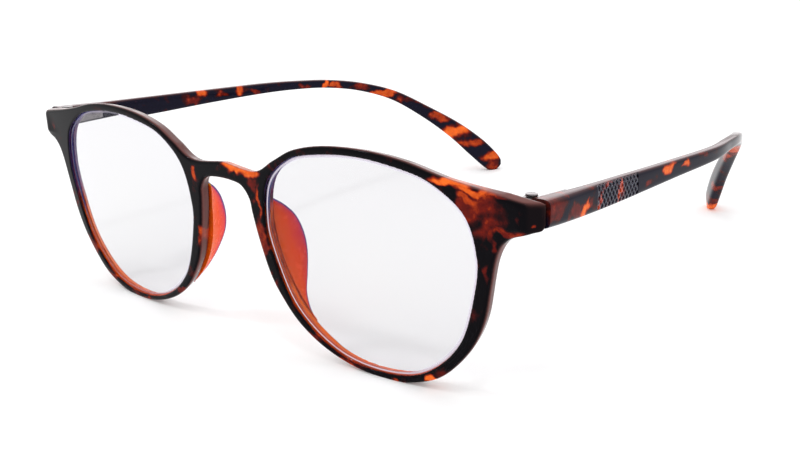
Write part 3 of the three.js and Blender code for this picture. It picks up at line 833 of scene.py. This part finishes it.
def paint_front(piece, points):
    """Painted light on the walls of the rims, for light through them and sheen on them: a pinkish brown
    painted sheen outside, a violet painted sheen and an amber painted glow inside.
    """
    normals = turned(read_vectors(piece.data.vertex_normals, "vector"), -LEAN)
    light = patch_light(points[:, 0], points[:, 2], points, FRONT_PATCHES, FRONT_SEED)
    mottle = wandering(points, MOTTLE, MOTTLE_SEED)[:, 0]
    on_left = points[:, 0] > 0

    from_x = points[:, 0] - np.where(on_left, HALF_PD, -HALF_PD)
    from_z = points[:, 2] - OPENING_MIDDLE_Z
    radius = np.hypot(from_x, from_z) + 1e-6
    outward = (from_x * normals[:, 0] + from_z * normals[:, 2]) / radius
    within = (radius < OPENING_REACH) & (outward < INWARD)
    depth = points[:, 1] - wrap_at(points[:, 0])
    on_wall = fade(np.abs(normals[:, 1]), SIDE_STARTS, SIDE_FULL) * fade(depth, BEHIND_STARTS, BEHIND_FULL)

    # Painted glow: the openings' inner walls are painted lighter, more so low down, standing in for light
    # through the plastic.
    painted_glow = np.clip(WALL_PAINTED_GLOW - points[:, 2] / GLOW_FALL + GLOW_MOTTLE * mottle, *GLOW_RANGE)
    light = np.where(within, light + (painted_glow - light) * on_wall, light)
    # Painted sheen: violet on the openings' upper inner walls, pinkish brown on the outer walls, less on
    # an end piece's sides.
    dusk = np.where(on_left, TURNS_WARM[1], TURNS_WARM[-1])
    high = fade(points[:, 2] + DUSK_MOTTLE * mottle, dusk, dusk + WARM_OVER)
    in_end = fade(np.abs(points[:, 0]), *END_SIDE) * fade(points[:, 2], *END_OVER)
    outside = 1 - END_LOSS * in_end * (1 - np.clip(normals[:, 2], 0, 1))
    # The light value holds the patches and, on the inner walls, the painted glow.
    paint(piece, "light", light)
    paint(piece, "wall", np.where(within, high, outside) * on_wall)
    paint(piece, "violet", within)


def paint_temple(piece, patches, seed):
    """Patches by place, and a painted sheen on the top."""
    from_bridge = read_vectors(piece.data.vertices, "co") / MM - np.array(BRIDGE)
    points = turned(from_bridge, DROP)
    normals = turned(read_vectors(piece.data.vertex_normals, "vector"), DROP)
    paint(piece, "light", patch_light(points[:, 1], points[:, 2], points, patches, seed))
    # Painted sheen: the upward faces are made paler.
    paint(piece, "wall", fade(normals[:, 2], TOP_STARTS, TOP_FULL) * TOP_PAINTED_SHEEN)
    paint(piece, "violet", np.zeros(len(points)))


# ---------------------------------------------------------------- materials
NOISE_SPAN = (0.3, 0.7)  # where most of a noise's values lie


class Nodes:
    """A short way to build a material's node tree."""

    def __init__(self, name):
        self.material = bpy.data.materials.new(name)
        self.material.use_nodes = True
        self.tree = self.material.node_tree
        self.tree.nodes.clear()
        self.output = self.add("ShaderNodeOutputMaterial", {})
        self.place = self.add("ShaderNodeTexCoord", {}).outputs["Object"]

    def add(self, kind, inputs, **settings):
        node = self.tree.nodes.new(kind)
        for key, value in settings.items():
            setattr(node, key, value)
        for key, value in inputs.items():
            self.put(node.inputs[key], value)
        return node

    def put(self, socket, value):
        if isinstance(value, bpy.types.NodeSocket):
            self.tree.links.new(value, socket)
        else:
            socket.default_value = value

    def attribute(self, name):
        """A value that was painted on the mesh."""
        return self.add("ShaderNodeAttribute", {}, attribute_name=name).outputs["Fac"]

    def noise(self, scale, detail, place=None):
        inputs = {"Scale": scale, "Detail": detail, "Vector": place or self.place}
        return self.add("ShaderNodeTexNoise", inputs).outputs["Fac"]

    def math(self, operation, a, b):
        return self.add("ShaderNodeMath", {0: a, 1: b}, operation=operation).outputs[0]

    def ramp(self, factor, stops):
        node = self.add("ShaderNodeValToRGB", {"Fac": factor})
        ramp = node.color_ramp
        while len(ramp.elements) < len(stops):
            ramp.elements.new(1.0)
        for element, (position, color) in zip(ramp.elements, stops):
            element.position = position
            element.color = (*color, 1)
        return node.outputs["Color"]

    def blend(self, factor, first, second):
        node = self.add("ShaderNodeMix", {6: first, 7: second}, data_type="RGBA")
        self.put(node.inputs[0], factor)
        return node.outputs[2]

    def spread(self, value, low, high, new_low, new_high):
        inputs = {"Value": value, "From Min": low, "From Max": high, "To Min": new_low, "To Max": new_high}
        return self.add("ShaderNodeMapRange", inputs).outputs["Result"]

    def varied(self, noise, low, high):
        """A noise stretched to run from low to high."""
        return self.spread(noise, *NOISE_SPAN, low, high)

    def bump(self, strength, distance, height):
        inputs = {"Strength": strength, "Distance": distance, "Height": height}
        return self.add("ShaderNodeBump", inputs).outputs["Normal"]

    def surface(self, inputs):
        return self.add("ShaderNodeBsdfPrincipled", inputs).outputs["BSDF"]

    def finish(self, shader):
        self.tree.links.new(shader, self.output.inputs["Surface"])
        return self.material


def tortoiseshell(name, lift, shine, deep):
    """Dark brown plastic with clouded red and amber patches, polished, with a painted pinkish brown or
    violet sheen blended in where a mesh paints one on its walls or top.
    """
    nodes = Nodes(name)
    cloud = nodes.varied(nodes.noise(650.0, 4.0), lift - 0.07, lift + 0.07)
    grain = nodes.varied(nodes.noise(3200.0, 3.0), -0.02, 0.02)
    level = nodes.math("ADD", nodes.math("ADD", nodes.attribute("light"), cloud), grain)
    color = nodes.ramp(level, [
        (0.0, deep), (0.36, deep), (0.46, (0.03, 0.0035, 0.003)),
        (0.6, (0.14, 0.009, 0.004)), (0.74, (0.46, 0.05, 0.006)), (0.96, (0.92, 0.165, 0.02)),
    ])
    # Painted sheen: a pinkish brown or violet colour blended in by the painted wall value.
    painted_sheen_color = nodes.ramp(nodes.attribute("violet"), [(0.0, (0.22, 0.085, 0.075)), (1.0, (0.09, 0.06, 0.26))])
    painted_sheen_share = nodes.math("MULTIPLY", nodes.attribute("wall"), 0.7)
    return nodes.finish(nodes.surface({
        "Base Color": nodes.blend(painted_sheen_share, color, painted_sheen_color),
        "Roughness": nodes.varied(nodes.noise(900.0, 3.0), 0.06, 0.13),
        "IOR": 1.49,
        "Specular IOR Level": shine,
        "Specular Tint": (0.72, 0.76, 1.0, 1),
        "Subsurface Weight": nodes.spread(level, 0.5, 0.85, 0.0, 0.3),
        "Subsurface Radius": (0.0012, 0.0004, 0.0001),
        "Subsurface Scale": 1.0,
        "Normal": nodes.bump(0.04, 0.00002, nodes.noise(5200.0, 4.0)),
    }))


def amber_plastic():
    """Smooth translucent amber, turning crimson and then violet towards its free edge."""
    nodes = Nodes("amber_plastic")
    cloud = nodes.varied(nodes.noise(260.0, 3.0), -0.08, 0.08)
    level = nodes.math("ADD", nodes.attribute("edge"), cloud)
    color = nodes.ramp(level, [
        (0.0, (1.0, 0.12, 0.006)), (0.5, (1.0, 0.085, 0.012)), (0.78, (0.85, 0.06, 0.06)),
        (0.93, (0.55, 0.05, 0.16)), (1.08, (0.1, 0.05, 0.22)),
    ])
    return nodes.finish(nodes.surface({
        "Base Color": color,
        "Roughness": nodes.varied(nodes.noise(700.0, 2.0), 0.2, 0.3),
        "IOR": 1.46,
        "Specular IOR Level": 0.04,
        "Transmission Weight": 0.12,
        "Subsurface Weight": 0.25,
        "Subsurface Radius": (0.0018, 0.0006, 0.0002),
        "Subsurface Scale": 1.0,
        "Normal": nodes.bump(0.05, 0.00003, nodes.noise(3000.0, 3.0)),
    }))


def coated_glass():
    """Clear lens; a painted violet-blue and lilac-white highlight round its edge stands in for its
    coating's reflection, and its side is painted with the rim's wall seen through it.
    """
    nodes = Nodes("coated_glass")
    edge = nodes.attribute("edge")
    flank = nodes.attribute("flank")
    # A clear tint, with a painted violet and lilac-white highlight ring at the edge, made nearly opaque.
    tint_and_edge_highlight = nodes.ramp(edge, [(0.0, (0.795, 0.795, 0.8)), (0.97, (0.785, 0.785, 0.8)),
                             (0.982, (0.7, 0.66, 0.8)), (0.99, (0.95, 0.87, 0.98))])
    # Painted refraction of the rim's inner wall on the lens's side.
    beyond = nodes.ramp(nodes.attribute("warm"), [(0.0, (0.06, 0.05, 0.3)), (1.0, (0.85, 0.16, 0.05))])
    glass = nodes.surface({
        "Base Color": nodes.blend(flank, tint_and_edge_highlight, beyond),
        "Roughness": nodes.varied(nodes.noise(60.0, 2.0), 0.0, 0.015),
        "IOR": 1.13,
        "Transmission Weight": nodes.math("MULTIPLY", nodes.spread(edge, 0.98, 0.99, 1.0, 0.1),
                                          nodes.spread(flank, 0.2, 0.8, 1.0, 0.0)),
        "Specular Tint": (0.5, 0.5, 1.0, 1),
    })
    clear = nodes.add("ShaderNodeBsdfTransparent", {"Color": (0.96, 0.965, 0.98, 1)}).outputs["BSDF"]
    in_shadow = nodes.add("ShaderNodeLightPath", {}).outputs["Is Shadow Ray"]
    mix = nodes.add("ShaderNodeMixShader", {"Fac": in_shadow, 1: glass, 2: clear})
    return nodes.finish(mix.outputs["Shader"])


def hinge_steel():
    """Dark metal with a fine brushed grain."""
    nodes = Nodes("hinge_steel")
    stretch = nodes.add("ShaderNodeMapping", {"Vector": nodes.place, "Scale": (1.0, 1.0, 14.0)})
    grain = nodes.noise(1500.0, 4.0, stretch.outputs["Vector"])
    tone = nodes.ramp(nodes.noise(500.0, 2.0), [(0.3, (0.17, 0.16, 0.17)), (0.7, (0.27, 0.25, 0.25))])
    return nodes.finish(nodes.surface({
        "Base Color": tone,
        "Metallic": 1.0,
        "Roughness": nodes.varied(grain, 0.2, 0.34),
        "Normal": nodes.bump(0.15, 0.00002, grain),
    }))


def pale_floor():
    nodes = Nodes("pale_floor")
    shade = nodes.ramp(nodes.noise(3.0, 2.0), [(0.3, (0.955, 0.955, 0.96)), (0.7, (0.965, 0.965, 0.965))])
    return nodes.finish(nodes.surface({"Base Color": shade, "Roughness": 0.9, "Specular IOR Level": 0.0}))


def dress(piece, material):
    piece.data.materials.clear()
    piece.data.materials.append(material)


def keep_inside(piece):
    """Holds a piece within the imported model's box, and so on the floor."""
    held = np.clip(read_vectors(piece.data.vertices, "co"), *np.array(cad_box))
    piece.data.vertices.foreach_set("co", held.ravel())
    piece.data.update()


# ---------------------------------------------------------------- floor and light
FLOOR_HALF = 1.5  # metres, as the lights' places are
WHITE = (1, 1, 1)
LIGHT_AIM = (0, 0, 0.02)
LIGHTS = [
    # name, place, size, watts, color
    ("overhead", (0.05, 0.1, 0.6), (0.7, 0.6), 0.5, WHITE),
    ("back", (-0.49, 0.5, 0.26), (0.9, 0.36), 1.2, (1.0, 0.95, 0.97)),
    ("edge_glint", (-0.26, -0.25, 0.42), (0.05, 0.05), 0.25, WHITE),
    ("corner_glint", (0.22, -0.2, 0.5), (0.05, 0.05), 0.2, WHITE),
]


def make_floor():
    corners = [(-FLOOR_HALF, -FLOOR_HALF, 0), (FLOOR_HALF, -FLOOR_HALF, 0),
               (FLOOR_HALF, FLOOR_HALF, 0), (-FLOOR_HALF, FLOOR_HALF, 0)]
    floor = add_object("floor", corners, [(0, 1, 2, 3)], smooth=False)
    dress(floor, pale_floor())


def add_area(name, place, size, watts, color):
    data = bpy.data.lights.new(name, "AREA")
    data.shape = "RECTANGLE"
    data.size, data.size_y = size
    data.energy = watts
    data.color = color
    light = bpy.data.objects.new(name, data)
    light.location = place
    light.rotation_euler = (Vector(LIGHT_AIM) - Vector(place)).to_track_quat("-Z", "Y").to_euler()
    bpy.context.scene.collection.objects.link(light)


def light_studio():
    world = bpy.data.worlds.new("studio")
    world.use_nodes = True
    background = world.node_tree.nodes["Background"]
    background.inputs["Color"].default_value = (*WHITE, 1)
    background.inputs["Strength"].default_value = 1.0
    bpy.context.scene.world = world
    for light in LIGHTS:
        add_area(*light)
    bpy.context.scene.view_settings.view_transform = "Standard"


# ---------------------------------------------------------------- the model
make_camera()
front_shell = tortoiseshell("front_tortoiseshell", 0.0, 0.06, (0.0025, 0.0018, 0.002))
temple_shell = tortoiseshell("temple_tortoiseshell", 0.01, 0.1, (0.006, 0.005, 0.013))
net_shell = tortoiseshell("net_tortoiseshell", 0.04, 0.8, (0.004, 0.0035, 0.007))
amber = amber_plastic()
glass = coated_glass()
steel = hinge_steel()

front, front_points = build_front()
paint_front(front, front_points)
dress(front, front_shell)

for side, word, patches in ((1, "left", LEFT_PATCHES), (-1, "right", RIGHT_PATCHES)):
    arm = f"temple_arm_{word}"
    dress(build_lens(side, f"lens_{word}"), glass)
    dress(build_pad(side, f"nose_pad_{word}"), amber)
    for piece, shell in ((build_temple(side, f"temple_{word}", arm), temple_shell),
                         (build_net(side, f"mesh_inlay_{word}", arm), net_shell)):
        paint_temple(piece, patches, TEMPLE_SEEDS[side])
        dress(piece, shell)
    for node in ("hinge_front_leaf", "hinge_screw", "front_rivet_1", "front_rivet_2"):
        dress(build_steel(f"{node}_{word}", "front"), steel)
    for node in ("hinge_temple_leaf", "temple_rivet_1", "temple_rivet_2"):
        dress(build_steel(f"{node}_{word}", arm), steel)

for piece in bpy.context.scene.objects:
    if piece.type == "MESH" and piece.name not in frame["nodes"]:
        keep_inside(piece)
make_floor()
light_studio()

bpy.context.view_layer.update()
